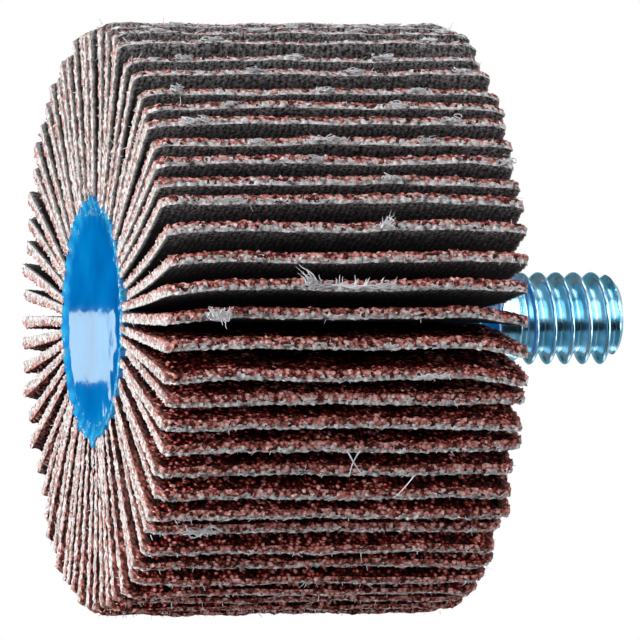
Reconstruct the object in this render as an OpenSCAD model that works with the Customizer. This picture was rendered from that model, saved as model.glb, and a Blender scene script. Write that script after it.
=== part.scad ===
// Flap wheel: a radial pack of abrasive cloth flaps in a cast resin hub on a threaded stud.
// Millimetres. The axis is Z. The resin end face looks down and the stud points up.

/* [Wheel] */
// Diameter over the flap tips
wheel_d = 40.4; // [36:0.2:60]
// Width of the flap pack along the axis
wheel_w = 25.4; // [15:0.1:40]
// Number of flaps, an even number
flap_count = 68; // [48:2:76]

/* [Flaps] */
// Thickness of a flap where the resin grips it
root_t = 0.6; // [0.4:0.02:0.74]
// Thickness of a flap at its loose tip
tip_t = 0.78; // [0.4:0.02:0.9]
// Length of the tongue of a flap inside the resin
tongue_l = 0.75; // [0.5:0.05:2.5]
// Depth of resin over each end of a tongue
tongue_cover = 0.7; // [0.4:0.05:3]
// Lean of the flap tips, from none to the full waves
lean = 1; // [0:0.1:1]

/* [Resin hub] */
// Thickness of the resin web between two tongues, at the slot floor
web_t = 0.08; // [0.06:0.01:0.16]
// Depth of the flat resin face below the flap edges
face_dip = 0.3; // [0.1:0.05:0.6]
// Depth left at the rim, where the resin creeps up the flap edges
rim_dip = 0.08; // [0.02:0.02:0.3]
// Width of the curved rim of the resin face
rim_w = 1.1; // [0.6:0.1:2]
// Longest spike of resin between two flap roots
wick_l = 0.7; // [0.2:0.05:1.2]
// Height of the resin collar on the stud above the flap edges
collar_h = 3; // [0.5:0.1:4]
// Spread of the resin collar round the stud
collar_w = 1.8; // [0.8:0.1:2.5]
// Thickness of resin at the top of the collar
collar_lip = 0.15; // [0.05:0.05:0.4]

/* [Stud] */
// Major diameter of the thread
stud_d = 6.35; // [5.8:0.05:8]
// Diameter of the plain shank that the resin holds, the pitch diameter of the thread
shank_d = 5.55; // [4.5:0.05:5.7]
// Length of stud that stands out of the flap pack
stud_out = 11.8; // [8:0.1:30]
// Length of stud inside the pack
stud_in = 19; // [8:0.5:24]
// Bare shank between the top of the resin collar and the full thread
bare_l = 1.2; // [0.4:0.1:3]
// Length over which the thread runs out onto the shank
run_out_l = 0.4; // [0.2:0.1:0.4]
// Length of the chamfer at the tip
tip_chamfer = 0.7; // [0.3:0.1:1.5]
// Diameter of the flat end of the stud
tip_flat_d = 4.7; // [3:0.1:5]

/* [Detail] */
// Steps along the bent part of a blade
blade_steps = 6; // [3:1:10]
// Steps of each curved edge of the resin
curve_steps = 6; // [3:1:12]
// One node to draw, or all of them

/* [Hidden] */
$fn = 96;
pitch = 360 / flap_count;
wheel_r = wheel_d / 2;
stud_r = stud_d / 2;
shank_r = shank_d / 2;
slot_floor_r = flap_count * (root_t + web_t) / (2 * PI);
hub_r = slot_floor_r + tongue_l;
bend_r = hub_r + wick_l;
stud_foot = max(wheel_w - stud_in, 3);
tip_z = wheel_w + stud_out;
thread_z = wheel_w + collar_h + bare_l;
grip_z = tongue_cover + face_dip;
pairs = flap_count / 2;

function pair_name(k) = str("flap_pair_", k < 10 ? "0" : "", k);

// Share of the way from where a blade starts to bend to its tip
function reach(r) = max(0, (r - bend_r) / (wheel_r - bend_r));

// Waves of lean round the wheel: how many in a turn, share of the flap pitch, phase in degrees
lean_waves = [[3, 0.15, 110], [5, 0.3, 79], [7, 0.1, 4], [16, 0.08, 254]];

// Swing of the tip of flap i, in degrees: the waves are slow, so neighbours stay well apart
function swing(i, k = 0) =
    k == len(lean_waves)
        ? 0
        : lean * pitch * lean_waves[k][1] * sin(lean_waves[k][0] * i * pitch + lean_waves[k][2])
            + swing(i, k + 1);

// Half the thickness of a blade at radius r
function half_t(r) = (root_t + (tip_t - root_t) * reach(r)) / 2;

// A point on one face of blade i at radius r: s is -1 for the grit face and 1 for the back
function face_point(i, r, s) =
    let (a = swing(i) * pow(reach(r), 2), t = s * half_t(r))
    [r * cos(a) - t * sin(a), r * sin(a) + t * cos(a)];

// Radii at which a blade's outline has points
blade_radii = concat(
    [hub_r, bend_r],
    [for (k = [1:blade_steps]) bend_r + (wheel_r - bend_r) * k / blade_steps]
);
last_radius = len(blade_radii) - 1;

// Length of the spike of resin after flap i
function wick(i) = wick_l * (0.5 + 0.25 * sin(97 * i) + 0.25 * sin(211 * i + 30));

// Half outline of the resin face rim: how deep the resin lies at radius r, a hollow curve up to the rim
function dip(r) =
    let (u = max(0, (r - (hub_r - rim_w)) / rim_w))
    face_dip - (face_dip - rim_dip) * pow(u, 2);

// Points of the rim curve from the flat of the face outwards
rim_radii = [for (k = [0:curve_steps]) hub_r - rim_w + rim_w * k / curve_steps];

module blade(i)
{
    outline = concat(
        [for (k = [0:last_radius]) face_point(i, blade_radii[k], -1)],
        [for (k = [last_radius:-1:0]) face_point(i, blade_radii[k], 1)]
    );
    linear_extrude(wheel_w)
        polygon(outline);
}

// The part of a flap that the resin grips, also the shape of the slot cast round it
module tongue(reach_out)
{
    translate([slot_floor_r, -root_t / 2, grip_z])
        cube([tongue_l + reach_out, root_t, wheel_w - 2 * grip_z]);
}

module flap(i)
{
    rotate(i * pitch)
    {
        tongue(wick_l / 2);
        blade(i);
    }
}

module flap_pair(k)
{
    color([0.42, 0.2, 0.17])
    {
        flap(2 * k - 2);
        flap(2 * k - 1);
    }
}

// A spike of resin that fills the gap after flap i from the hub out to its own length
module wick_fin(i)
{
    inner = hub_r - 0.3;
    outer = hub_r + wick(i);
    here = root_t / 2;
    turn = [[cos(pitch), -sin(pitch)], [sin(pitch), cos(pitch)]];
    rotate(i * pitch)
        translate([0, 0, face_dip])
            linear_extrude(wheel_w - 2 * face_dip)
                polygon([[inner, here], [outer, here], turn * [outer, -here], turn * [inner, -here]]);
}

// The turned outline of the hub: a dished face, a straight wall, a dished top and a hollow collar
module hub_outline()
{
    lower = [for (r = rim_radii) [r, dip(r)]];
    upper = [for (k = [curve_steps:-1:0]) [rim_radii[k], wheel_w - dip(rim_radii[k])]];
    top_flat = wheel_w - face_dip;
    rise = collar_h + face_dip;
    collar = [
        for (k = [0:curve_steps])
            let (a = 90 * k / curve_steps)
            [shank_r + collar_lip + collar_w * (1 - sin(a)), top_flat + rise * (1 - cos(a))]
    ];
    polygon(concat([[0, face_dip]], lower, upper, collar, [[0, top_flat + rise]]));
}

module resin_hub()
{
    color([0.02, 0.4, 0.8])
        difference()
        {
            union()
            {
                rotate_extrude()
                    hub_outline();
                for (i = [0:flap_count - 1])
                    wick_fin(i);
            }
            for (i = [0:flap_count - 1])
                rotate(i * pitch)
                    tongue(wick_l + 1);
            translate([0, 0, stud_foot])
                cylinder(h = tip_z, r = shank_r);
        }
}

module threaded_stud()
{
    shoulder_z = tip_z - tip_chamfer;
    color([0.72, 0.74, 0.76])
    {
        translate([0, 0, stud_foot])
            cylinder(h = thread_z - run_out_l - stud_foot, r = shank_r);
        translate([0, 0, thread_z - run_out_l])
            cylinder(h = run_out_l, r1 = shank_r, r2 = stud_r);
        translate([0, 0, thread_z])
            cylinder(h = shoulder_z - thread_z, r = stud_r);
        translate([0, 0, shoulder_z])
            cylinder(h = tip_chamfer, r1 = stud_r, r2 = tip_flat_d / 2);
    }
}

resin_hub();
threaded_stud();
for (k = [1:pairs])
    flap_pair(k);
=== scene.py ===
import math

import bpy
import numpy as np
from mathutils import Matrix, Vector


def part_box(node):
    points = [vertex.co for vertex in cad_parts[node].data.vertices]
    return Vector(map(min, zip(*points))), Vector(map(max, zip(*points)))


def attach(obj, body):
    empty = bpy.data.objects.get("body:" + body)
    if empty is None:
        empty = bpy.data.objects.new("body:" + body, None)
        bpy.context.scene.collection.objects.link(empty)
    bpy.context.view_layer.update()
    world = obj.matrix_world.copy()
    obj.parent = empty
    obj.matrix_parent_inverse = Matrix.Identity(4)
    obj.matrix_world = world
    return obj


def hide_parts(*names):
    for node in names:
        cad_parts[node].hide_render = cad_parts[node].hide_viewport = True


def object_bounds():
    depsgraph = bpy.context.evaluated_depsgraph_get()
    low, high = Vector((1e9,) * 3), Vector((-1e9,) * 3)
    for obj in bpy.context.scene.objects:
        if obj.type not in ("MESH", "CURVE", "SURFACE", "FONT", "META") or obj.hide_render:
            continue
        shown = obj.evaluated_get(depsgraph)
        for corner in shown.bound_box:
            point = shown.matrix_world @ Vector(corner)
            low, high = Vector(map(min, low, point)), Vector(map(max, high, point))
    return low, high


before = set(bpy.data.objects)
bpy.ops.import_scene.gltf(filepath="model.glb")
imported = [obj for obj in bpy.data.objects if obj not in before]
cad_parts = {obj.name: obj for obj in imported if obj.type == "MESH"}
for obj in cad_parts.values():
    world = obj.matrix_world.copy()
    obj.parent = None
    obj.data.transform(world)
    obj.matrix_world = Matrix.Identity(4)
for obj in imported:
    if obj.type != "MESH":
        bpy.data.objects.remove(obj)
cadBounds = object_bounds()
mm = 0.001
rng = np.random.default_rng(11)
print("frame loaded")

# the wheel as its solids have it: reach and width come from the frame, the rest repeats the part's own sizes in mm
wheel = {
    "tipRadius": cadBounds[1].x / mm,
    "width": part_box("flap_pair_01")[1].z / mm,
    "tipOfStud": cadBounds[1].z / mm,
    "flapCount": 68,
    "hubRadius": 8.11,
    "bendRadius": 8.81,
    "rootThickness": 0.6,
    "tipThickness": 0.78,
    "leanWaves": [(3, 0.15, 110), (5, 0.3, 79), (7, 0.1, 4), (16, 0.08, 254)],  # in a turn, share of pitch, phase
}
flapPitch = 2 * math.pi / wheel["flapCount"]
flapPhases = rng.uniform(0, 2 * math.pi, (wheel["flapCount"], 4))
flapEnds = rng.random((wheel["flapCount"], 2)) ** 1.5


def hexColour(text):
    parts = [int(text[k:k + 2], 16) / 255 for k in (1, 3, 5)]
    return [p / 12.92 if p <= 0.04045 else ((p + 0.055) / 1.055) ** 2.4 for p in parts] + [1.0]


def addNode(tree, kind, inputs=None, stops=None, **settings):
    node = tree.nodes.new(kind)
    for name, value in settings.items():
        setattr(node, name, value)
    for name, value in (inputs or {}).items():
        if isinstance(value, bpy.types.NodeSocket):
            tree.links.new(value, node.inputs[name])
        else:
            node.inputs[name].default_value = value
    for k in range(2, len(stops or [])):
        node.color_ramp.elements.new(0.5)
    for k, (place, colour) in enumerate(stops or []):
        node.color_ramp.elements[k].position = place
        node.color_ramp.elements[k].color = hexColour(colour)
    return node


def newMaterial(name):
    material = bpy.data.materials.new(name)
    material.use_nodes = True
    tree = material.node_tree
    return material, tree, tree.nodes["Principled BSDF"]


def deselectAll():
    for thing in bpy.context.selected_objects:
        thing.select_set(False)


def makeActive(*things):
    deselectAll()
    for thing in things:
        thing.select_set(True)
    bpy.context.view_layer.objects.active = things[0]


def readPoints(piece):
    co = np.empty(len(piece.data.vertices) * 3)
    piece.data.vertices.foreach_get("co", co)
    return co.reshape(-1, 3) / mm


def writePoints(piece, co):
    piece.data.vertices.foreach_set("co", (co * mm).ravel())
    piece.data.update()


def keepAboveFloor(piece):
    co = readPoints(piece)
    co[:, 2] = np.maximum(co[:, 2], 0)
    writePoints(piece, co)


def selectFaces(piece, test):
    mesh = piece.data
    centres, normals = (np.empty(len(mesh.polygons) * 3) for k in range(2))
    mesh.polygons.foreach_get("center", centres)
    mesh.polygons.foreach_get("normal", normals)
    chosen = test(centres.reshape(-1, 3) / mm, normals.reshape(-1, 3))
    mesh.vertices.foreach_set("select", np.zeros(len(mesh.vertices), bool))
    mesh.edges.foreach_set("select", np.zeros(len(mesh.edges), bool))
    mesh.polygons.foreach_set("select", chosen)
    return chosen


def editSelected(piece, work):
    makeActive(piece)
    bpy.context.tool_settings.mesh_select_mode = (False, False, True)
    bpy.ops.object.mode_set(mode="EDIT")
    work()
    bpy.ops.object.mode_set(mode="OBJECT")


def addGroup(piece, name, chosen):
    group = piece.vertex_groups.new(name=name)
    group.add([int(k) for k in np.flatnonzero(chosen)], 1.0, "REPLACE")


def applyDisplace(piece, texture, group, strength, midLevel=0.5):
    makeActive(piece)
    push = piece.modifiers.new(texture.name, "DISPLACE")
    push.texture = texture
    push.texture_coords = "LOCAL"
    push.vertex_group = group
    push.strength = strength * mm
    push.mid_level = midLevel
    bpy.ops.object.modifier_apply(modifier=push.name)


def newTexture(name, kind, grainSize):
    texture = bpy.data.textures.new(name, kind)
    texture.noise_scale = grainSize * mm
    return texture


def finishPiece(piece, slot, *nodes):
    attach(piece, "root")
    if nodes:
        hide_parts(*nodes)


# Materials

gritLook = {
    "grain": 0.26,  # mm across, a 60 grit
    "standing": 1.35,  # grains stand up from the sheet, so a slanting look stretches them less than a flat print
    # the palest stops are painted highlights, which stand in for the grains' sparkle
    "colours": [(0.0, "#0E0101"), (0.32, "#380907"), (0.54, "#8D2A23"), (0.76, "#E0736A"), (1.0, "#FFCEC6")],
    "patch": 2.5,  # mm, patches where the resin lies thicker
    "sawDustAndLight": "#C28077",  # saw dust on the grains by a side cut, together with painted light on the grit that the gaps show at the wheel's ends
    "paintedShadeSpan": (11.0, 17.5),  # mm from the axis, between which the painted shade deep between the flaps fades out and the sheets take their own colour
}


def shadeNearHub(tree, sheet, colour):  # painted shade: the inner half of a sheet darkens towards the hub, where shade falls deep between the flaps
    radius = addNode(tree, "ShaderNodeSeparateXYZ", {"Vector": sheet}).outputs["X"]
    inner, outer = gritLook["paintedShadeSpan"]
    unshaded = addNode(tree, "ShaderNodeMapRange", {
        "Value": radius, "From Min": inner * mm, "From Max": outer * mm, "To Min": 0.22, "To Max": 1.0})
    shade = addNode(tree, "ShaderNodeVectorMath", {0: colour, "Scale": unshaded.outputs[0]}, operation="SCALE")
    return shade.outputs[0]


def makeGritCoat():  # brown aluminium oxide set in resin: angular grains of random tone, with painted highlights on the brightest grains and in each grain's middle, and painted shade at each grain's border
    material, tree, shader = newMaterial("aluminiumOxideGrit")
    sheet = addNode(tree, "ShaderNodeAttribute", attribute_name="sheet").outputs["Vector"]
    place = addNode(tree, "ShaderNodeMapping", {"Vector": sheet, "Scale": (1 / gritLook["standing"], 1, 1)}).outputs[0]
    grain = addNode(tree, "ShaderNodeTexVoronoi", {"Vector": place, "Scale": 1 / (gritLook["grain"] * mm)})
    patch = addNode(tree, "ShaderNodeTexNoise", {"Vector": sheet, "Scale": 1 / (gritLook["patch"] * mm), "Detail": 3.0})
    pick = addNode(tree, "ShaderNodeSeparateColor", {"Color": grain.outputs["Color"]})
    shade = addNode(tree, "ShaderNodeMath", {0: pick.outputs["Red"], 1: patch.outputs["Fac"]}, operation="MULTIPLY")
    # painted shade at each grain's border, and a painted highlight at its middle
    grainBorderShade = addNode(tree, "ShaderNodeMath", {0: grain.outputs["Distance"], 1: -0.9, 2: 0.25}, operation="MULTIPLY_ADD")
    lift = addNode(tree, "ShaderNodeMath", {0: shade.outputs[0], 1: 1.9, 2: grainBorderShade.outputs[0]}, operation="MULTIPLY_ADD")
    ramp = addNode(tree, "ShaderNodeValToRGB", {"Fac": lift.outputs[0]}, gritLook["colours"])
    nearSide = addNode(tree, "ShaderNodeAttribute", attribute_name="nearSide").outputs["Fac"]
    spread = addNode(tree, "ShaderNodeMapRange", {"Value": pick.outputs["Blue"], "To Min": 0.3, "To Max": 1.0})
    wide = addNode(tree, "ShaderNodeMath", {0: nearSide, 1: 0.45}, operation="POWER")
    dustAndLightFac = addNode(tree, "ShaderNodeMath", {0: wide.outputs[0], 1: spread.outputs[0]}, operation="MULTIPLY")
    # paler pink near the side cuts: saw dust, and painted light where the gaps at the ends are lit
    dustedAndLit = addNode(tree, "ShaderNodeMix", {"Factor": dustAndLightFac.outputs[0]}, data_type="RGBA")
    tree.links.new(ramp.outputs["Color"], dustedAndLit.inputs["A"])
    dustedAndLit.inputs["B"].default_value = hexColour(gritLook["sawDustAndLight"])
    # painted shade: the grit darkens towards the hub, deep between the flaps
    tree.links.new(shadeNearHub(tree, sheet, dustedAndLit.outputs["Result"]), shader.inputs["Base Color"])
    rough = addNode(tree, "ShaderNodeMapRange", {"Value": pick.outputs["Green"], "To Min": 0.35, "To Max": 0.8})
    tree.links.new(rough.outputs["Result"], shader.inputs["Roughness"])
    height = addNode(tree, "ShaderNodeMath", {0: 1.0, 1: grain.outputs["Distance"]}, operation="SUBTRACT")
    bump = addNode(tree, "ShaderNodeBump", {"Strength": 1.0, "Distance": 0.14 * mm, "Height": height.outputs[0]})
    tree.links.new(bump.outputs["Normal"], shader.inputs["Normal"])
    shader.inputs["IOR"].default_value = 1.6
    shader.inputs["Specular IOR Level"].default_value = 0.04
    return material


clothLook = {
    "yarn": 0.42,  # mm between the yarns, which run from the hub to the rim
    "deep": [(0.1, "#0A0809"), (0.6, "#272324")],
    "outer": [(0.1, "#080707"), (0.27, "#282526"), (0.37, "#7C787A"), (0.5, "#DAD7DA")],
    "torn": [(0.12, "#423C3A"), (0.26, "#8E8784"), (0.42, "#C9C2BE"), (0.6, "#E4DFDC")],
    "fleck": "#DAD7DA",
}


def makeClothBack():  # heavy cotton filled with dark glue: dull and hairy, greyer where it is cut and handled
    material, tree, shader = newMaterial("filledCottonCloth")
    sheet = addNode(tree, "ShaderNodeAttribute", attribute_name="sheet").outputs["Vector"]
    yarns = addNode(tree, "ShaderNodeTexWave", {
        "Vector": sheet, "Scale": 0.314 / (clothLook["yarn"] * mm), "Distortion": 5.0,
        "Detail": 3.0, "Detail Scale": 2.0}, bands_direction="Z")
    fluff = addNode(tree, "ShaderNodeTexNoise", {"Vector": sheet, "Scale": 1 / (0.32 * mm), "Detail": 5.0, "Roughness": 0.8})
    ridge = addNode(tree, "ShaderNodeMath", {0: yarns.outputs["Fac"], 1: 0.18, 2: 0.58}, operation="MULTIPLY_ADD")
    blend = addNode(tree, "ShaderNodeMath", {0: ridge.outputs[0], 1: fluff.outputs["Fac"]}, operation="MULTIPLY")
    nearCut = addNode(tree, "ShaderNodeAttribute", attribute_name="nearCut").outputs["Fac"]
    wide = addNode(tree, "ShaderNodeMath", {0: nearCut, 1: 0.55}, operation="POWER")
    deep = addNode(tree, "ShaderNodeValToRGB", {"Fac": blend.outputs[0]}, clothLook["deep"])
    outer = addNode(tree, "ShaderNodeValToRGB", {"Fac": blend.outputs[0]}, clothLook["outer"])
    body = addNode(tree, "ShaderNodeMix", {"Factor": wide.outputs[0]}, data_type="RGBA")
    tree.links.new(deep.outputs["Color"], body.inputs["A"])
    tree.links.new(outer.outputs["Color"], body.inputs["B"])
    specks = addNode(tree, "ShaderNodeTexNoise", {"Vector": sheet, "Scale": 1 / (0.2 * mm), "Detail": 2.0})
    speckFac = addNode(tree, "ShaderNodeMapRange", {
        "Value": specks.outputs["Fac"], "From Min": 0.5, "From Max": 0.66, "To Min": 0.0, "To Max": 0.9})
    fleck = addNode(tree, "ShaderNodeMath", {0: speckFac.outputs[0], 1: nearCut}, operation="MULTIPLY")
    mixed = addNode(tree, "ShaderNodeMix", {"Factor": fleck.outputs[0]}, data_type="RGBA")
    tree.links.new(body.outputs["Result"], mixed.inputs["A"])
    mixed.inputs["B"].default_value = hexColour(clothLook["fleck"])
    nearSide = addNode(tree, "ShaderNodeAttribute", attribute_name="nearSide").outputs["Fac"]
    torn = addNode(tree, "ShaderNodeValToRGB", {"Fac": blend.outputs[0]}, clothLook["torn"])
    uneven = addNode(tree, "ShaderNodeMath", {0: fluff.outputs["Fac"], 1: 1.4, 2: 0.35}, operation="MULTIPLY_ADD")
    reach = addNode(tree, "ShaderNodeMath", {0: uneven.outputs[0], 1: nearSide}, operation="MULTIPLY")
    ragged = addNode(tree, "ShaderNodeMath", {0: reach.outputs[0], 1: 2.2}, operation="POWER")
    frayed = addNode(tree, "ShaderNodeMix", {"Factor": ragged.outputs[0]}, data_type="RGBA")
    # painted shade: the cloth darkens towards the hub, deep between the flaps
    tree.links.new(shadeNearHub(tree, sheet, mixed.outputs["Result"]), frayed.inputs["A"])
    tree.links.new(torn.outputs["Color"], frayed.inputs["B"])
    tree.links.new(frayed.outputs["Result"], shader.inputs["Base Color"])
    bump = addNode(tree, "ShaderNodeBump", {"Strength": 1.0, "Distance": 0.25 * mm, "Height": blend.outputs[0]})
    tree.links.new(bump.outputs["Normal"], shader.inputs["Normal"])
    shader.inputs["Roughness"].default_value = 0.95
    shader.inputs["Specular IOR Level"].default_value = 0.1
    return material


edgeLook = {
    "yarnEnd": 0.36,  # mm
    "cream": [(0.0, "#363233"), (0.23, "#868283"), (0.45, "#D2CFD1"), (0.77, "#FAF9FA")],
    "grit": [(0.0, "#3C1512"), (0.25, "#994A42"), (0.6, "#D88E86"), (1.0, "#FBDAD5")],
    "gritStart": 0.31,  # share of the thickness, from the cloth side, where grit takes over
    "fresh": ("#D8D0CB", "#C89C94"),  # cloth and grit on the side cuts, paler and more even than on the worn rim
}


def makeCutEdge():  # the cut through cloth and coat: pale beads of yarn, red grains set above them, each bead and grain lighter at its middle with painted shade at its border
    material, tree, shader = newMaterial("cutAbrasiveCloth")
    place = addNode(tree, "ShaderNodeTexCoord").outputs["Object"]
    layer = addNode(tree, "ShaderNodeAttribute", attribute_name="layer")
    bead = addNode(tree, "ShaderNodeTexVoronoi", {"Vector": place, "Scale": 1 / (edgeLook["yarnEnd"] * mm)})
    lint = addNode(tree, "ShaderNodeTexNoise", {"Vector": place, "Scale": 1 / (0.3 * mm), "Detail": 4.0, "Roughness": 0.65})
    # painted shade between the yarn ends, lighter in each bead's middle
    beadShade = addNode(tree, "ShaderNodeMath", {0: bead.outputs["Distance"], 1: -0.9, 2: 0.45}, operation="MULTIPLY_ADD")
    yarn = addNode(tree, "ShaderNodeMath", {0: lint.outputs["Fac"], 1: 1.0, 2: beadShade.outputs[0]}, operation="MULTIPLY_ADD")
    creams = addNode(tree, "ShaderNodeValToRGB", {"Fac": yarn.outputs[0]}, edgeLook["cream"])
    grain = addNode(tree, "ShaderNodeTexVoronoi", {"Vector": place, "Scale": 1 / (gritLook["grain"] * mm)})
    pick = addNode(tree, "ShaderNodeSeparateColor", {"Color": grain.outputs["Color"]})
    # painted shade at each grain's border, and a painted highlight at its middle
    grainBorderShade = addNode(tree, "ShaderNodeMath", {0: grain.outputs["Distance"], 1: -0.8, 2: 0.25}, operation="MULTIPLY_ADD")
    shade = addNode(tree, "ShaderNodeMath", {0: pick.outputs["Red"], 1: grainBorderShade.outputs[0]}, operation="ADD")
    reds = addNode(tree, "ShaderNodeValToRGB", {"Fac": shade.outputs[0]}, edgeLook["grit"])
    stray = addNode(tree, "ShaderNodeMath", {0: pick.outputs["Green"], 1: 0.6}, operation="MULTIPLY")
    level = addNode(tree, "ShaderNodeMath", {0: layer.outputs["Fac"], 1: stray.outputs[0]}, operation="ADD")
    isGrit = addNode(tree, "ShaderNodeMapRange", {
        "Value": level.outputs[0], "From Min": edgeLook["gritStart"] + 0.36, "From Max": edgeLook["gritStart"] + 0.42})
    mixed = addNode(tree, "ShaderNodeMix", {"Factor": isGrit.outputs[0]}, data_type="RGBA")
    nearSide = addNode(tree, "ShaderNodeAttribute", attribute_name="nearSide").outputs["Fac"]
    even = addNode(tree, "ShaderNodeMath", {0: nearSide, 1: 0.48}, operation="MULTIPLY")
    for layerColour, freshColour, end in zip((creams, reds), edgeLook["fresh"], "AB"):
        paler = addNode(tree, "ShaderNodeMix", {"Factor": even.outputs[0]}, data_type="RGBA")
        tree.links.new(layerColour.outputs["Color"], paler.inputs["A"])
        paler.inputs["B"].default_value = hexColour(freshColour)
        tree.links.new(paler.outputs["Result"], mixed.inputs[end])
    tree.links.new(mixed.outputs["Result"], shader.inputs["Base Color"])
    bump = addNode(tree, "ShaderNodeBump", {"Strength": 1.0, "Distance": 0.2 * mm, "Height": yarn.outputs[0]})
    tree.links.new(bump.outputs["Normal"], shader.inputs["Normal"])
    shader.inputs["Roughness"].default_value = 0.85
    shader.inputs["Specular IOR Level"].default_value = 0.1
    return material


def makeFibre():  # loose cotton and polyester hairs: off-white, soft sheen
    material, tree, shader = newMaterial("cottonFibre")
    place = addNode(tree, "ShaderNodeTexCoord").outputs["Object"]
    tone = addNode(tree, "ShaderNodeTexNoise", {"Vector": place, "Scale": 1 / (1.5 * mm)})
    ramp = addNode(tree, "ShaderNodeValToRGB", {"Fac": tone.outputs["Fac"]}, [(0.3, "#BDBCC1"), (0.6, "#EEEEF2")])
    tree.links.new(ramp.outputs["Color"], shader.inputs["Base Color"])
    shader.inputs["Roughness"].default_value = 0.7
    shader.inputs["Sheen Weight"].default_value = 0.3
    return material


resinLook = {
    "blue": [(0.3, "#005FA6"), (0.55, "#0072BD"), (0.8, "#0687C8")],
    "thin": "#2AA2CE",  # where it thins out over the flap ends
    "paintedWallShade": "#05080B",  # painted shade on the hub wall between the flaps, near black
    "patch": 5.0,  # mm, slow changes of depth
    "roughness": 0.05,
}


def makeCastResin():  # pigmented epoxy, cast and left to level itself: wet gloss, slightly uneven depth of blue
    material, tree, shader = newMaterial("castBlueEpoxy")
    place = addNode(tree, "ShaderNodeTexCoord").outputs["Object"]
    patch = addNode(tree, "ShaderNodeTexNoise", {"Vector": place, "Scale": 1 / (resinLook["patch"] * mm), "Detail": 2.0})
    ramp = addNode(tree, "ShaderNodeValToRGB", {"Fac": patch.outputs["Fac"]}, resinLook["blue"])
    colour = ramp.outputs["Color"]
    for name in ("thin", "paintedWallShade"):
        share = addNode(tree, "ShaderNodeAttribute", attribute_name=name).outputs["Fac"]
        mixed = addNode(tree, "ShaderNodeMix", {"Factor": share}, data_type="RGBA")
        tree.links.new(colour, mixed.inputs["A"])
        mixed.inputs["B"].default_value = hexColour(resinLook[name])
        colour = mixed.outputs["Result"]
    tree.links.new(colour, shader.inputs["Base Color"])
    # less gloss where the hub wall carries painted shade
    dull = addNode(tree, "ShaderNodeMapRange", {"Value": share, "To Min": 0.5, "To Max": 0.0})
    tree.links.new(dull.outputs[0], shader.inputs["Specular IOR Level"])
    film = addNode(tree, "ShaderNodeTexNoise", {"Vector": place, "Scale": 1 / (1.5 * mm), "Detail": 2.0})
    bump = addNode(tree, "ShaderNodeBump", {"Strength": 1.0, "Distance": 0.007 * mm, "Height": film.outputs["Fac"]})
    tree.links.new(bump.outputs["Normal"], shader.inputs["Normal"])
    shader.inputs["Roughness"].default_value = resinLook["roughness"]
    shader.inputs["IOR"].default_value = 1.55
    return material


steelLook = {
    "tones": [(0.3, "#7FB4CC"), (0.55, "#A3CDE0"), (0.8, "#CAE3EF")],
    "roughness": (0.14, 0.26),
}


def makePlatedSteel():  # rolled thread, bright zinc with a blue passivation: cold glints, faint rolling marks
    material, tree, shader = newMaterial("blueZincPlatedSteel")
    place = addNode(tree, "ShaderNodeTexCoord").outputs["Object"]
    cloud = addNode(tree, "ShaderNodeTexNoise", {"Vector": place, "Scale": 1 / (1.6 * mm), "Detail": 3.0})
    ramp = addNode(tree, "ShaderNodeValToRGB", {"Fac": cloud.outputs["Fac"]}, steelLook["tones"])
    tree.links.new(ramp.outputs["Color"], shader.inputs["Base Color"])
    low, high = steelLook["roughness"]
    rough = addNode(tree, "ShaderNodeMapRange", {"Value": cloud.outputs["Fac"], "To Min": low, "To Max": high})
    tree.links.new(rough.outputs["Result"], shader.inputs["Roughness"])
    turned = addNode(tree, "ShaderNodeMapping", {"Vector": place, "Scale": (1, 1, 14)})
    marks = addNode(tree, "ShaderNodeTexNoise", {"Vector": turned.outputs[0], "Scale": 1 / (1.2 * mm), "Detail": 2.0})
    bump = addNode(tree, "ShaderNodeBump", {"Strength": 0.15, "Distance": 0.02 * mm, "Height": marks.outputs["Fac"]})
    tree.links.new(bump.outputs["Normal"], shader.inputs["Normal"])
    shader.inputs["Metallic"].default_value = 1.0
    return material


gritCoat, clothBack, cutEdge = makeGritCoat(), makeClothBack(), makeCutEdge()
fibreLook, castResin, platedSteel = makeFibre(), makeCastResin(), makePlatedSteel()
print("materials made")

# Flaps

flapShape = {
    "rootRadius": 7.85,  # just inside the resin
    "cells": (20, 42),  # along the radius, along the axis
    "rimZone": 1.3,  # mm of finer mesh behind the rim cut
    "sideZone": 1.25,  # mm of finer mesh behind the side cuts
    "wander": (0.07, 0.02),  # mm that the rim edge strays, slow and quick
    "uneven": (0.07, 0.52),  # mm that a tip's ends stand back from the pack's two faces
    "twist": 0.05,  # mm between a tip's two ends
    "endBend": (0.05, 0.35),  # mm that the corners curl towards the cloth side
    "bendLength": 6.0,
    "worn": (0.2, 0.07),  # mm that the rim cut is rounded off towards the grit and towards the back
    "sawn": 0.6,  # the side cuts tear grains off, so less of their thickness shows grit
    "bow": 0.1,  # mm that a sheet bows towards its cloth side, half way out
    "cornerCut": 0.4,  # mm taken off the tip corners by wear
    "shortest": 0.5,  # mm that the most worn tips fall short
    "grain": 0.3,
    "grainHeight": 0.3,
    "yarn": 0.36,
    "yarnHeight": 0.32,
    "backHeight": 0.08,
}


flapBends = rng.uniform(*flapShape["endBend"], (wheel["flapCount"], 2))
seenBends = {  # flaps in plain view: how far the resin end and the stud end of the tip curl, mm
    46: (0.14, 0.25), 47: (0.2, 0.15), 48: (0.24, 0.1), 49: (0.2, 0.15), 50: (0.32, 0.25), 51: (0.4, 0.8),
    52: (0.21, 0.85), 53: (0.3, 0.6), 54: (0.2, 0.1), 55: (0.14, 0.4), 56: (0.34, 0.0), 57: (0.17, 0.27), 58: (0.1, 0.29),
}
for i, bends in seenBends.items():
    flapBends[i] = bends


def leanOf(i):
    angle = i * flapPitch
    return sum(flapPitch * share * math.sin(turns * angle + math.radians(phase))
               for turns, share, phase in wheel["leanWaves"])


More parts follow.
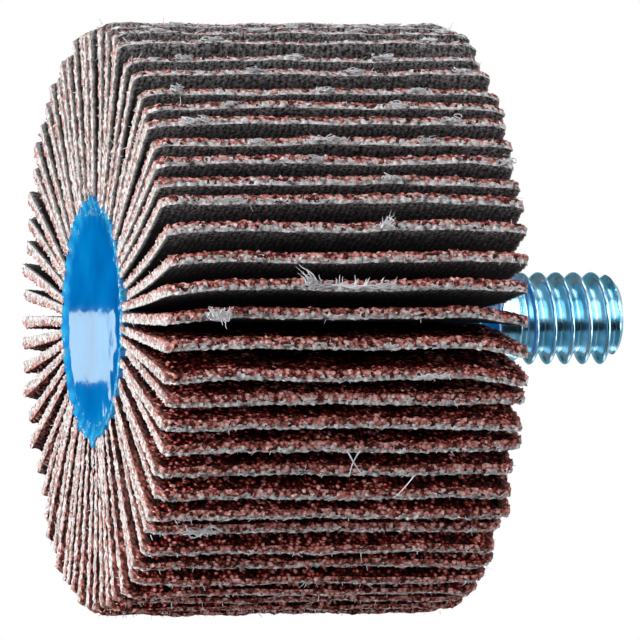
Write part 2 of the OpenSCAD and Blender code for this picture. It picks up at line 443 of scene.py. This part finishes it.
def placeOnFlap(i, r, y, z):
    # r from the axis, y from -0.5 on the grit face to 0.5 on the back, z along the axis
    reach = np.clip((r - wheel["bendRadius"]) / (wheel["tipRadius"] - wheel["bendRadius"]), 0, 1.2)
    thickness = wheel["rootThickness"] + (wheel["tipThickness"] - wheel["rootThickness"]) * reach
    a, b, c, d = flapPhases[i]
    slow, quick = flapShape["wander"]
    stray = slow * np.sin(z / 2.6 + a) + quick * np.sin(z / 0.85 + b) + quick * np.sin(z / 1.35 + c)
    stray = stray + flapShape["twist"] * math.sin(d) * (z / wheel["width"] - 0.5)
    for bend, fromEnd in zip(flapBends[i], (z, wheel["width"] - z)):
        stray = stray + bend * np.clip(1 - fromEnd / flapShape["bendLength"], 0, 1) ** 2
    bow = flapShape["bow"] * np.sin(np.pi * np.clip(reach, 0, 1)) ** 1.5
    y = y * thickness + stray * reach ** 2 + bow
    angle = i * flapPitch + leanOf(i) * reach ** 2
    return np.stack([r * np.cos(angle) - y * np.sin(angle), r * np.sin(angle) + y * np.cos(angle), z], axis=1)


def makeSheetBlank():
    long = wheel["tipRadius"] - flapShape["rootRadius"]
    middle = (wheel["tipRadius"] + flapShape["rootRadius"]) / 2
    deselectAll()
    bpy.ops.mesh.primitive_grid_add(
        x_subdivisions=flapShape["cells"][0], y_subdivisions=flapShape["cells"][1], size=1,
        rotation=(math.pi / 2, 0, 0), location=(middle * mm, -0.5 * mm, wheel["width"] / 2 * mm))
    blank = bpy.context.object
    blank.name = "sheetBlank"
    blank.scale = (long * mm, wheel["width"] * mm, 1)
    bpy.ops.object.transform_apply(location=True, rotation=True, scale=True)

    def thicken():
        bpy.ops.mesh.select_all(action="SELECT")
        for k in range(2):
            bpy.ops.mesh.extrude_region_move(TRANSFORM_OT_translate={"value": (0, 0.5 * mm, 0)})
        bpy.ops.mesh.select_all(action="SELECT")
        bpy.ops.mesh.normals_make_consistent(inside=False)

    editSelected(blank, thicken)
    nearEdge = lambda c: ((c[:, 0] > wheel["tipRadius"] - flapShape["rimZone"])
                          | (c[:, 2] < flapShape["sideZone"]) | (c[:, 2] > wheel["width"] - flapShape["sideZone"]))
    selectFaces(blank, lambda c, n: nearEdge(c) & (n[:, 1] > 0.5))
    editSelected(blank, lambda: bpy.ops.mesh.subdivide(number_cuts=1))
    selectFaces(blank, lambda c, n: nearEdge(c) & (n[:, 1] < 0.5) & (n[:, 0] > -0.5))
    editSelected(blank, lambda: bpy.ops.mesh.subdivide(number_cuts=2))
    for material in (gritCoat, clothBack, cutEdge):
        blank.data.materials.append(material)
    onBack = selectFaces(blank, lambda c, n: n[:, 1] > 0.5)
    onCut = selectFaces(blank, lambda c, n: abs(n[:, 1]) < 0.5)
    blank.data.polygons.foreach_set("material_index", onBack * 1 + onCut * 2)
    blank.data.polygons.foreach_set("use_smooth", onBack)
    co = readPoints(blank)
    tiny = 0.001
    cut = np.minimum(wheel["tipRadius"] - co[:, 0], np.minimum(co[:, 2], wheel["width"] - co[:, 2]))
    addGroup(blank, "grit", co[:, 1] < -0.5 + tiny)
    addGroup(blank, "cut", cut < tiny)
    addGroup(blank, "back", (co[:, 1] > 0.5 - tiny) & (cut > tiny))
    atSide = (np.minimum(co[:, 2], wheel["width"] - co[:, 2]) < tiny) & (co[:, 0] < wheel["tipRadius"] - tiny)
    layer = (0.5 - co[:, 1]) * np.where(atSide, flapShape["sawn"], 1)
    blank.data.attributes.new("layer", "FLOAT", "POINT").data.foreach_set("value", layer)
    side = np.maximum(np.minimum(co[:, 2], wheel["width"] - co[:, 2]), 0)
    fromRim = np.maximum(wheel["tipRadius"] - co[:, 0], 0)
    blank.data.attributes.new("nearCut", "FLOAT", "POINT").data.foreach_set("value", np.exp(-fromRim / 0.8))
    blank.data.attributes.new("nearSide", "FLOAT", "POINT").data.foreach_set("value", np.exp(-(side / 0.22) ** 2))
    blank.data.attributes.new("sheet", "FLOAT_VECTOR", "POINT")  # place on the flat sheet, for the patterns that follow it
    return blank


def wearOf(i):  # mm that flap i falls short at its tip, and stands back at its resin end and its stud end
    short = flapShape["shortest"] * (0.5 + 0.5 * math.sin(5 * flapPhases[i][0])) ** 2
    near, far = flapShape["uneven"]
    return [short] + [near + (far - near) * share for share in flapEnds[i]]


def makeFlap(blank, i):
    flap = blank.copy()
    flap.data = blank.data.copy()
    bpy.context.collection.objects.link(flap)
    r, y, z = readPoints(flap).T
    flat = np.stack([r, y + 9.7 * i, z], axis=1) * mm
    flap.data.attributes["sheet"].data.foreach_set("vector", flat.ravel())
    side = np.clip(1 - np.minimum(z, wheel["width"] - z) / 1.1, 0, 1)
    atTip = np.clip((r - wheel["tipRadius"] + 3) / 3, 0, 1)
    a, b, c, d = flapPhases[i]
    rim = 0.05 * np.sin(z / 1.9 + c) + 0.04 * np.sin(z / 0.7 + d)
    short, low, high = wearOf(i)
    r = r + atTip * (rim - 0.05 - short - flapShape["cornerCut"] * side ** 2)
    toGrit, toBack = flapShape["worn"]
    r = r - np.clip(atTip * 3 - 2, 0, 1) * np.where(y < 0, toGrit, toBack) * (2 * y) ** 2
    z = z + low * (1 - z / wheel["width"]) - high * z / wheel["width"]
    writePoints(flap, placeOnFlap(i, r, y, z))
    return flap


blank = makeSheetBlank()
grainTexture = newTexture("grains", "VORONOI", flapShape["grain"])
yarnTexture = newTexture("yarnEnds", "CLOUDS", flapShape["yarn"])
weaveTexture = newTexture("looseWeave", "CLOUDS", 0.5)
for k in range(wheel["flapCount"] // 2):
    pair = [makeFlap(blank, 2 * k), makeFlap(blank, 2 * k + 1)]
    makeActive(*pair)
    bpy.ops.object.join()
    pair[0].name = f"abrasiveFlaps_{k + 1:02d}"
    applyDisplace(pair[0], grainTexture, "grit", -flapShape["grainHeight"], 0.4)
    applyDisplace(pair[0], yarnTexture, "cut", flapShape["yarnHeight"])
    applyDisplace(pair[0], weaveTexture, "back", flapShape["backHeight"])
    keepAboveFloor(pair[0])
    finishPiece(pair[0], "abrasive_cloth", f"flap_pair_{k + 1:02d}")
bpy.data.objects.remove(blank)
print("flaps made")

# Loose fibres on the cuts

fuzz = {
    "perRim": 62,
    "perLowerEdge": 24,
    "perUpperEdge": 12,
    "length": (0.1, 0.42),
    "radius": (0.018, 0.038),
}


def fibreCurve(name, strands):
    curve = bpy.data.curves.new(name, "CURVE")
    curve.dimensions = "3D"
    curve.bevel_depth = mm
    curve.bevel_resolution = 0
    curve.use_fill_caps = True
    for points, radii in strands:
        spline = curve.splines.new("POLY")
        spline.points.add(len(points) - 1)
        four = np.column_stack([points * mm, np.ones(len(points))])
        spline.points.foreach_set("co", four.ravel())
        spline.points.foreach_set("radius", radii)
    piece = bpy.data.objects.new(name, curve)
    bpy.context.collection.objects.link(piece)
    makeActive(piece)
    bpy.ops.object.convert(target="MESH")
    piece = bpy.context.object
    piece.data.materials.clear()
    piece.data.materials.append(fibreLook)
    piece.data.polygons.foreach_set("use_smooth", np.ones(len(piece.data.polygons), bool))
    return piece


def strandFrom(start, direction, length, thick, curl=0.7, points=4):
    # a hair that leaves start, bends by curl times its length, twists if it has the points for it, and thins to its end
    bend, twist = rng.normal(0, 1, 3) * curl, rng.normal(0, 1, 3) * curl * 0.22
    along = np.linspace(0, 1, points)[:, None]
    path = start + length * (along * direction + along ** 2 * bend * 0.5)
    if points > 4:
        path = path + length * twist * np.sin(along * rng.uniform(4, 9))
    return path, thick * np.linspace(1, 0.45, points)


def flapAxes(i):
    angle = i * flapPitch + leanOf(i)
    return (np.array([math.cos(angle), math.sin(angle), 0]), np.array([-math.sin(angle), math.cos(angle), 0]),
            np.array([0, 0, 1.0]))


def edgeHairs(i, count, r, z, outward):
    strands = []
    starts = placeOnFlap(i, r, rng.uniform(-0.1, 0.45, count), z)
    for start in starts:
        away = outward + rng.normal(0, 0.55, 3)
        length = fuzz["length"][0] + (fuzz["length"][1] - fuzz["length"][0]) * rng.random() ** 3
        strands.append(strandFrom(start, away / np.linalg.norm(away), length, rng.uniform(*fuzz["radius"])))
    return strands


hairs = []
for i in range(wheel["flapCount"]):
    out, across, up = flapAxes(i)
    short, low, high = wearOf(i)
    top = wheel["tipRadius"] - 0.12 - short
    low, high = low + 0.03, wheel["width"] - high - 0.03
    count = fuzz["perRim"]
    hairs += edgeHairs(i, count, np.full(count, top), rng.uniform(low + 0.1, high - 0.1, count), out * 0.7)
    for count, level, way in ((fuzz["perLowerEdge"], low, -0.35), (fuzz["perUpperEdge"], high, 0.7)):
        reach = rng.uniform(wheel["bendRadius"], top - 0.3, count)
        hairs += edgeHairs(i, count, reach, np.full(count, level), up * way)
for path, radii in hairs:
    path[:, 2] = np.maximum(path[:, 2], 0.05)  # nothing goes under the floor the wheel stands on
finishPiece(fibreCurve("cutEdgeFuzz", hairs), "abrasive_cloth")
print("fuzz made", len(hairs))

# Bigger tufts where yarn has pulled loose: the flap, the stretch along the axis in mm, loops and their size in mm;
# spikes are wisps that stand off it, each with its place, length and slant along the axis
tufts = [
    {"flap": 50, "from": 9.8, "to": 16.4, "loops": 12, "size": 0.3, "thick": 0.06, "lift": -0.1, "spikes": [
        (10.3, 2.3, -0.8), (10.1, 1.5, -0.5), (10.6, 0.9, -0.7), (12.0, 0.75, -0.2), (13.0, 0.7, 0.3), (13.8, 0.6, 0.2),
        (14.8, 0.5, 0.3), (15.6, 0.6, 0.4)]},
    {"flap": 48, "from": 15.2, "to": 15.8, "loops": 5, "size": 0.3, "thick": 0.05, "lift": -0.3, "spikes": [
        (15.4, 1.2, 0.5), (15.2, 0.8, 0.2)]},
    {"flap": 51, "from": 3.3, "to": 4.1, "loops": 16, "size": 0.42, "thick": 0.065, "lift": 0.2, "spikes": [
        (3.8, -1.1, 0.1), (3.4, 0.6, -0.6), (4.1, 0.6, 0.6)]},
    {"flap": 43, "from": 2.6, "to": 4.2, "loops": 10, "size": 0.35, "thick": 0.055, "lift": -0.2},
    {"flap": 41, "from": 2.6, "to": 3.2, "loops": 10, "size": 0.3, "thick": 0.06, "lift": -0.3},
    {"flap": 60, "from": 3.0, "to": 5.2, "loops": 16, "size": 0.45, "thick": 0.06, "lift": -0.5},
    {"flap": 37, "from": 23.2, "to": 24.0, "loops": 8, "size": 0.3, "thick": 0.05, "lift": -0.3},
    {"flap": 39, "from": 17.8, "to": 18.8, "loops": 8, "size": 0.3, "thick": 0.055, "lift": -0.2},
    {"flap": 45, "from": 24.0, "to": 24.8, "loops": 6, "size": 0.3, "thick": 0.05, "lift": -0.3},
    {"flap": 53, "from": 17.5, "to": 19.6, "loops": 7, "size": 0.25, "thick": 0.05, "lift": -0.1},
    {"flap": 47, "from": 3.6, "to": 6.0, "loops": 6, "size": 0.25, "thick": 0.045, "lift": -0.2},
    {"flap": 44, "from": 11.0, "to": 13.5, "loops": 6, "size": 0.25, "thick": 0.045, "lift": -0.2},
    {"flap": 5, "from": 12.0, "to": 14.0, "loops": 10, "size": 0.4, "thick": 0.055, "lift": -0.3},
    {"flap": 14, "from": 6.0, "to": 9.0, "loops": 12, "size": 0.4, "thick": 0.055, "lift": -0.3},
    {"flap": 23, "from": 18.0, "to": 20.0, "loops": 10, "size": 0.4, "thick": 0.055, "lift": -0.3},
    {"flap": 31, "from": 9.0, "to": 11.0, "loops": 10, "size": 0.4, "thick": 0.055, "lift": -0.3},
]
# Little curls of lint on the fluffiest flaps: flap, place along the axis in mm
curls = [(36, 5.0), (36, 13.4), (36, 20.2), (37, 2.8), (37, 10.1), (37, 17.0), (38, 6.4), (38, 21.5), (39, 3.9),
         (39, 11.6), (40, 8.3), (40, 15.1), (40, 22.6), (41, 12.7), (41, 19.2), (42, 5.6), (42, 17.3), (43, 20.8),
         (44, 6.9), (44, 18.8), (45, 10.8), (46, 15.9)]
tufts += [{"flap": i, "from": z, "to": z + 0.9, "loops": 6, "size": 0.26, "thick": 0.045, "lift": -0.15} for i, z in curls]
# Single pulled threads that bridge two flaps: flap, place, flap, place
bridges = [(56, 13.0, 57, 14.4), (56, 13.9, 57, 13.4), (57, 17.9, 58, 16.8), (8, 11.0, 9, 12.5), (28, 7.0, 29, 6.1)]


def makeTuft(tuft):  # curled threads lying over one another on the rim cut
    i, thick = tuft["flap"], tuft["thick"]
    out, across, up = flapAxes(i)
    axes = np.array([out * 0.3, across * 0.65, up]) * tuft["size"]
    tip = wheel["tipRadius"] - wearOf(i)[0]
    onRim = lambda z, lift: placeOnFlap(i, np.full(len(z), tip + lift), rng.uniform(-0.1, 0.35, len(z)), z)
    strands = []
    for k in range(4):
        lying = np.linspace(tuft["from"] + rng.uniform(-0.4, 0.3), tuft["to"] + rng.uniform(-0.3, 0.4), 14)
        strands.append((onRim(lying, 0.05 * k), thick * rng.uniform(0.8, 1.5) * np.sin(np.linspace(0.4, 2.8, 14))))
    for k in range(tuft["loops"]):
        middle = onRim(rng.uniform(tuft["from"], tuft["to"], 1), 0.1)[0] + across * tuft["lift"] * rng.random() ** 2
        along = np.linspace(0, rng.uniform(2.5, 5.5), 12)[:, None]
        path = middle + np.sin(along * rng.uniform(0.5, 1.5, 3) + rng.uniform(0, 6.3, 3)) @ axes
        strands.append((path, thick * rng.uniform(0.5, 1) * np.linspace(1, 0.5, 12)))
    for z, length, slant in tuft.get("spikes", []):
        for k in range(5):
            start = onRim(np.array([z]) + rng.normal(0, 0.12, 1), 0.05)[0]
            away = out * 0.25 - across * math.copysign(0.75, length) + up * slant + rng.normal(0, 0.12, 3)
            path, radii = strandFrom(start, away / np.linalg.norm(away), abs(length) * rng.uniform(0.6, 1), 1.3 * thick, 0.3, 7)
            strands.append((path, radii * np.linspace(1, 0.3, 7)))
    return strands


def makeBridge(i, zi, j, zj):
    ends = [placeOnFlap(k, np.array([wheel["tipRadius"] - 0.05]), np.array([0.1]), np.array([z]))[0]
            for k, z in ((i, zi), (j, zj))]
    along = np.linspace(0, 1, 7)[:, None]
    sag = np.sin(along * math.pi) * rng.normal(0, 0.12, 3)
    return ends[0] + (ends[1] - ends[0]) * along + sag, np.linspace(0.055, 0.035, 7)


pulled = [strand for tuft in tufts for strand in makeTuft(tuft)] + [makeBridge(*ends) for ends in bridges]
finishPiece(fibreCurve("pulledYarn", pulled), "abrasive_cloth")
print("tufts made", len(pulled))

# Resin hub

resin = {
    "faceDip": 0.3,
    "rimDip": 0.08,
    "rimWidth": 1.1,
    "collarTop": 28.4,
    "collarWidth": 1.8,
    "shankRadius": 2.775,
    "collarLip": 0.15,
    "wick": 0.7,
    "stepsPerFlap": 5,
    "flatTo": (6.25, 1.05),  # mm from the axis where the face starts to climb, and how far that strays to one side
    "climb": 0.022,  # mm of climb, times the square of the way from there
    "lobe": 1.6,  # mm that the collar climbs higher on one side
    "horns": (0.8, 180.8),  # where the resin has crept furthest over the flap ends, degrees
}


def turnProfile(name, profile, steps):
    # profile is radius and height in mm, from the axis round to the axis
    curve = bpy.data.curves.new(name, "CURVE")
    curve.dimensions = "3D"
    spline = curve.splines.new("POLY")
    spline.points.add(len(profile) - 1)
    spline.points.foreach_set("co", np.array([(r * mm, 0, z * mm, 1) for r, z in profile]).ravel())
    piece = bpy.data.objects.new(name, curve)
    bpy.context.collection.objects.link(piece)
    makeActive(piece)
    bpy.ops.object.convert(target="MESH")
    piece = bpy.context.object
    turn = piece.modifiers.new("turn", "SCREW")
    turn.steps = turn.render_steps = steps
    turn.use_merge_vertices = True
    turn.merge_threshold = 0.002 * mm
    bpy.ops.object.modifier_apply(modifier="turn")

    def tidy():
        bpy.ops.mesh.select_all(action="SELECT")
        bpy.ops.mesh.remove_doubles(threshold=0.002 * mm)
        bpy.ops.mesh.normals_make_consistent(inside=False)

    editSelected(piece, tidy)
    piece.data.polygons.foreach_set("use_smooth", np.ones(len(piece.data.polygons), bool))
    return piece


def hubProfile():
    rim, width, top = wheel["hubRadius"], wheel["width"], resin["collarTop"]
    dip = lambda r: resin["faceDip"] - (resin["faceDip"] - resin["rimDip"]) * max(0, (r - rim) / resin["rimWidth"] + 1) ** 2
    radii = [0, 0.3] + [0.5 * k for k in range(2, 14)] + [rim - 1.1 + 0.1 * k for k in range(12)]
    lower = [(r, dip(r)) for r in radii]
    wall = [(rim, z) for z in (0.3, 0.6, 1.2, 2.4, 6, 12, 18, 22, 24.2, 24.8, 25.1)]
    upper = [(r, width - dip(r)) for r in reversed(radii) if r > resin["shankRadius"] + resin["collarWidth"] + 0.2]
    collar = []
    for k in range(13):
        a = math.pi / 2 * k / 12
        collar.append((resin["shankRadius"] + resin["collarLip"] + resin["collarWidth"] * (1 - math.sin(a)),
                       width - resin["faceDip"] + (top - width + resin["faceDip"]) * (1 - math.cos(a))))
    return lower + wall + upper + collar + [(resin["shankRadius"] - 0.1, top), (0, top)]


def wickOf(i):
    # degrees, as in the solids
    return resin["wick"] * (0.5 + 0.25 * math.sin(math.radians(97 * i)) + 0.25 * math.sin(math.radians(211 * i + 30)))


def makeHub():
    hub = turnProfile("castHub", hubProfile(), resin["stepsPerFlap"] * wheel["flapCount"])
    x, y, z = readPoints(hub).T
    r, angle = np.hypot(x, y), np.arctan2(y, x) % (2 * math.pi)
    gap = (angle / flapPitch) % 1
    wick = np.array([wickOf(k) for k in range(wheel["flapCount"])])[(angle / flapPitch).astype(int) % wheel["flapCount"]]
    spike = np.clip(1 - abs(gap - 0.5) * 4, 0, 1) ** 1.5
    fromHorn = [((angle - math.radians(a) + math.pi) % (2 * math.pi) - math.pi) ** 2 for a in resin["horns"]]
    horn, nearHorn = (sum(np.exp(-away / spread) for away in fromHorn) for spread in (0.0012, 0.03))
    edge = np.clip((r - 7.4) / 0.7, 0, 1)
    r = r + edge * (spike * wick * (0.9 - 0.8 * nearHorn) - 0.12 * (1 - spike) + 0.62 * horn) * (1 + 0.3 * np.sin(angle * 37 + z))
    ripple = np.sin(angle * 7 + 1) * 0.02 + np.sin(angle * 23 + 2) * 0.02
    face = (z < 0.5) & (r < 9.2)
    level, stray = resin["flatTo"]
    start = level + stray * np.sin(angle) + 0.3 * np.sin(angle * 9 + 1) + 0.2 * np.sin(angle * 23)
    z = z + face * (np.clip((r - 7) / 1.2, 0, 1) * ripple - resin["climb"] * np.clip(r - start, 0, 2) ** 2)
    # the collar climbs highest on one side, where the resin was last stirred
    onCollar = np.clip((z - 25.3) / 3.1, 0, 1) * (r < 5.5)
    z = z + onCollar * resin["lobe"] * np.clip(np.cos(angle - math.pi * 1.04), 0, 1) ** 3
    writePoints(hub, np.stack([r * np.cos(angle), r * np.sin(angle), z], axis=1))
    hub.data.materials.clear()
    hub.data.materials.append(castResin)
    co = readPoints(hub)
    radius = np.hypot(co[:, 0], co[:, 1])
    thin = np.clip((radius - 6.5) / 1.4, 0, 1) ** 1.5 * (0.6 + 0.4 * np.sin(angle * 31)) * (co[:, 2] < 1)
    # painted shade: the hub wall between the flaps turns near black
    paintedWallShade = np.clip((co[:, 2] - 0.7) / 1.2, 0, 1) * np.clip((24.7 - co[:, 2]) / 1.2, 0, 1)
    for name, share in (("thin", thin * 0.9), ("paintedWallShade", paintedWallShade)):
        hub.data.attributes.new(name, "FLOAT", "POINT").data.foreach_set("value", share)
    addGroup(hub, "face", (co[:, 2] < 0.5) | (co[:, 2] > 25))
    addGroup(hub, "creep", (radius > 7.2) & ((co[:, 2] < 1) | (co[:, 2] > 24.5)))
    applyDisplace(hub, newTexture("slowFlow", "CLOUDS", 3.0), "face", 0.007)
    applyDisplace(hub, newTexture("creepEdge", "CLOUDS", 0.45), "creep", 0.12)
    keepAboveFloor(hub)
    finishPiece(hub, "cast_resin", "resin_hub")
    return hub


makeHub()
print("hub made")

# Stud

thread = {
    "pitch": 1.27,
    "major": 3.175,
    "minor": 2.42,
    "crestAt": 31.76,  # height of a crest on the side at crestAngle
    "crestAngle": 180.8,
    "runOut": (29.3, 30.7),
    "chamfer": 0.7,
    "flatRadius": 2.35,
    "sharpness": 1.2,  # above 1 the crests get narrower and the roots wider
}


def makeStud():
    tip, shank = wheel["tipOfStud"], resin["shankRadius"]
    heights = np.arange(28.6, tip - 0.001, 0.07)
    profile = [(0, 24.0), (shank, 24.0), (shank, 26.0), (shank, 28.0)] + [(shank, z) for z in heights]
    profile += [(shank, tip), (2.0, tip), (1.0, tip), (0, tip)]
    stud = turnProfile("rolledThreadStud", profile, 104)
    x, y, z = readPoints(stud).T
    r, angle = np.hypot(x, y), np.degrees(np.arctan2(y, x))
    turns = (z - thread["crestAt"]) / thread["pitch"] - (angle - thread["crestAngle"]) / 360
    away = abs((turns + 0.5) % 1 - 0.5) * 2  # 0 on a crest, 1 in a root
    flank = (0.5 + 0.5 * np.cos(math.pi * away)) ** thread["sharpness"]
    cut = thread["minor"] + (thread["major"] - thread["minor"]) * flank
    low, high = thread["runOut"]
    full = np.clip((z - low) / (high - low), 0, 1)
    full = full ** 2 * (3 - 2 * full)
    skin = shank + (cut - shank) * full
    slope = (thread["major"] - thread["flatRadius"]) / thread["chamfer"]
    skin = np.minimum(skin, thread["flatRadius"] + (tip - z) * slope)
    onSkin = r > shank - 0.001
    r = np.where(onSkin, skin, np.minimum(r, thread["flatRadius"]))
    writePoints(stud, np.stack([r * np.cos(np.radians(angle)), r * np.sin(np.radians(angle)), z], axis=1))
    stud.data.materials.clear()
    stud.data.materials.append(platedSteel)
    makeActive(stud)
    bpy.ops.object.shade_smooth_by_angle(angle=math.radians(40))
    finishPiece(stud, "zinc_plated_steel", "threaded_stud")


makeStud()
print("stud made")

# Camera: the wheel stands on its resin end, and the picture is turned so that its axis runs to the right
camera = {
    "distance": 728.5,
    "below": 0.2724,  # radians below the horizon
    "roll": -0.0037,
    "round": 0.8,  # degrees that the flaps are turned from the picture's own axes
    "focal": 10721.7,  # pixels
    "imageSize": 640,
    "faceCentre": (90.13, 319.98),  # pixels, where the middle of the resin end lands
}


def makeCamera():
    tilt, roll = camera["below"], camera["roll"]
    ahead = Vector((0, math.cos(tilt), math.sin(tilt)))
    side, upward = Vector((0, -math.sin(tilt), math.cos(tilt))), Vector((-1, 0, 0))
    right = math.cos(roll) * side + math.sin(roll) * upward
    above = -math.sin(roll) * side + math.cos(roll) * upward
    half, scale = camera["imageSize"] / 2, camera["distance"] / camera["focal"]
    place = (-(camera["faceCentre"][0] - half) * scale * right
             - (half - camera["faceCentre"][1]) * scale * above - camera["distance"] * ahead)
    turn = Matrix.Rotation(math.radians(camera["round"]), 4, "Z")
    data = bpy.data.cameras.new("pictureCamera")
    data.sensor_width = 36
    data.lens = camera["focal"] * data.sensor_width / camera["imageSize"]
    data.clip_start, data.clip_end = 0.05, 50
    thing = bpy.data.objects.new("pictureCamera", data)
    bpy.context.collection.objects.link(thing)
    axes = Matrix((right, above, -ahead)).transposed().to_4x4()
    thing.matrix_world = turn @ Matrix.Translation(place * mm) @ axes
    bpy.context.scene.camera = thing
    return turn.to_3x3() @ right, turn.to_3x3() @ above, turn.to_3x3() @ ahead


right, above, ahead = makeCamera()


# Floor and light

def makeFloor():  # seen from above only, so that the picture's low camera looks past it at the resin end
    deselectAll()
    bpy.ops.mesh.primitive_plane_add(size=6, location=(0, 0, 0))
    floor = bpy.context.object
    floor.name = "floor"
    material, tree, shader = newMaterial("paleFloor")
    shader.inputs["Base Color"].default_value = hexColour("#F2F2F0")
    shader.inputs["Roughness"].default_value = 0.9
    side = addNode(tree, "ShaderNodeNewGeometry").outputs["Backfacing"]
    clear = addNode(tree, "ShaderNodeBsdfTransparent")
    both = addNode(tree, "ShaderNodeMixShader", {0: side, 1: shader.outputs[0], 2: clear.outputs[0]})
    tree.links.new(both.outputs[0], tree.nodes["Material Output"].inputs["Surface"])
    floor.data.materials.append(material)
    floor.visible_diffuse = floor.visible_glossy = False
    floor.visible_transmission = floor.visible_shadow = False


lamps = [
    # name, where from in the picture (right, up, towards the camera), size in m, watts
    ("keySoftBox", (-0.87, 0.16, 0.47), 0.45, 6.8),
    ("lowSoftBox", (-0.9, -0.4, 0.2), 0.5, 3.2),
    ("topSoftBox", (-0.15, 0.98, 0.12), 0.5, 2.4),
    ("roofSoftBox", (0.98, 0.04, -0.2), 0.7, 7.0),
    ("frontSoftBox", (0.1, 0.25, 0.96), 0.5, 1.0),
]
lampDistance = 0.8
# what only the steel mirrors: soft boxes and a black card, by compass angle from the camera's side and by height
studio = {
    "brightBox": {"turn": -29, "rise": -4, "wide": 0.7, "high": 0.85, "power": 4.4},
    "rimBox": {"turn": 122, "rise": 0, "wide": 0.24, "high": 0.8, "power": 0.9},
    "blackCard": {"turn": 28, "rise": 8, "wide": 0.3, "high": 1.2},
    "distance": 0.6,
}


def makeLamp(name, place, target, size, power, shape="SQUARE", sizeY=None):
    data = bpy.data.lights.new(name, "AREA")
    data.shape = shape
    data.size = size
    if sizeY:
        data.size_y = sizeY
    data.energy = power
    lamp = bpy.data.objects.new(name, data)
    bpy.context.collection.objects.link(lamp)
    lamp.location = place
    lamp.rotation_mode = "QUATERNION"
    lamp.rotation_quaternion = (target - place).to_track_quat("-Z", "Y")
    lamp.visible_camera = False
    return lamp


resinGlint = {
    "middle": (1.8, 2.7, 0.3),  # mm, on the resin face
    "size": (5.4, 5.2),  # mm
    "power": 0.000163,
    "colour": (0.85, 1.0, 0.85),
}


def makeCard(name, place, way, wide, high):  # black felt, which only mirrors show
    deselectAll()
    bpy.ops.mesh.primitive_plane_add(size=1)
    card = bpy.context.object
    card.name = name
    card.scale = (wide, high, 1)
    card.rotation_mode = "QUATERNION"
    card.rotation_quaternion = (-way).to_track_quat("-Z", "Y")
    card.location = place
    material, tree, shader = newMaterial("blackFelt")
    shader.inputs["Base Color"].default_value = hexColour("#050505")
    shader.inputs["Specular IOR Level"].default_value = 0.0
    card.data.materials.append(material)
    card.visible_camera = card.visible_diffuse = card.visible_shadow = card.visible_transmission = False


def studioWay(thing):
    turn, rise = math.radians(thing["turn"] + camera["round"]), math.radians(thing["rise"])
    return Vector((math.sin(turn) * math.cos(rise), -math.cos(turn) * math.cos(rise), math.sin(rise)))


def makeLights():
    centre = Vector((0, 0, wheel["width"] / 2 * mm))
    for name, (x, y, z), size, power in lamps:
        way = (x * right + y * above - z * ahead).normalized()
        makeLamp(name, centre + way * lampDistance, centre, size, power)
    # the resin face mirrors a small soft box in front of black felt
    spot = Vector(resinGlint["middle"]) * mm
    mirrored = (spot - bpy.context.scene.camera.location).normalized()
    mirrored.z = -mirrored.z
    tall, wide = resinGlint["size"]
    glint = makeLamp("faceSoftBox", spot + mirrored * 0.1, spot, tall * mm, resinGlint["power"], "RECTANGLE", wide * mm)
    glint.data.color = resinGlint["colour"]
    glint.visible_diffuse = False
    makeCard("faceFelt", spot + mirrored * 0.13, mirrored, 0.09, 0.09)
    # the soft box and the black card that make the bands along the stud
    stud = Vector((0, 0, 33 * mm))
    card = studio["blackCard"]
    for name in ("brightBox", "rimBox"):
        box = studio[name]
        bright = makeLamp(name, stud + studioWay(box) * studio["distance"], stud, box["wide"], box["power"],
                          "RECTANGLE", box["high"])
        bright.visible_diffuse = False
    makeCard("studFelt", stud + studioWay(card) * studio["distance"] * 0.9, studioWay(card), card["wide"], card["high"])


def makeWorld():
    world = bpy.data.worlds.new("studio")
    bpy.context.scene.world = world
    world.use_nodes = True
    tree = world.node_tree
    tree.nodes.clear()
    rays = addNode(tree, "ShaderNodeLightPath")
    way = addNode(tree, "ShaderNodeTexCoord").outputs["Generated"]
    height = addNode(tree, "ShaderNodeSeparateXYZ", {"Vector": way})
    rise = addNode(tree, "ShaderNodeMapRange", {"Value": height.outputs["Z"], "From Min": -1.0})
    ramp = addNode(tree, "ShaderNodeValToRGB", {"Fac": rise.outputs[0]}, [
        (0.0, "#4A666E"), (0.45, "#6E9AA6"), (0.56, "#8EB2BC"), (0.8, "#C6D4D9")])
    soft = addNode(tree, "ShaderNodeBackground", {"Color": hexColour("#F4F6F8"), "Strength": 0.07})
    seen = addNode(tree, "ShaderNodeBackground", {"Color": (1, 1, 1, 1), "Strength": 1.0})
    mirror = addNode(tree, "ShaderNodeBackground", {"Color": ramp.outputs["Color"], "Strength": 1.0})
    gloss = addNode(tree, "ShaderNodeMixShader", {0: rays.outputs["Is Glossy Ray"], 1: soft.outputs[0], 2: mirror.outputs[0]})
    final = addNode(tree, "ShaderNodeMixShader", {0: rays.outputs["Is Camera Ray"], 1: gloss.outputs[0], 2: seen.outputs[0]})
    addNode(tree, "ShaderNodeOutputWorld", {"Surface": final.outputs[0]})


makeFloor()
makeLights()
makeWorld()
bpy.context.scene.view_settings.view_transform = "Standard"
print("stage set")
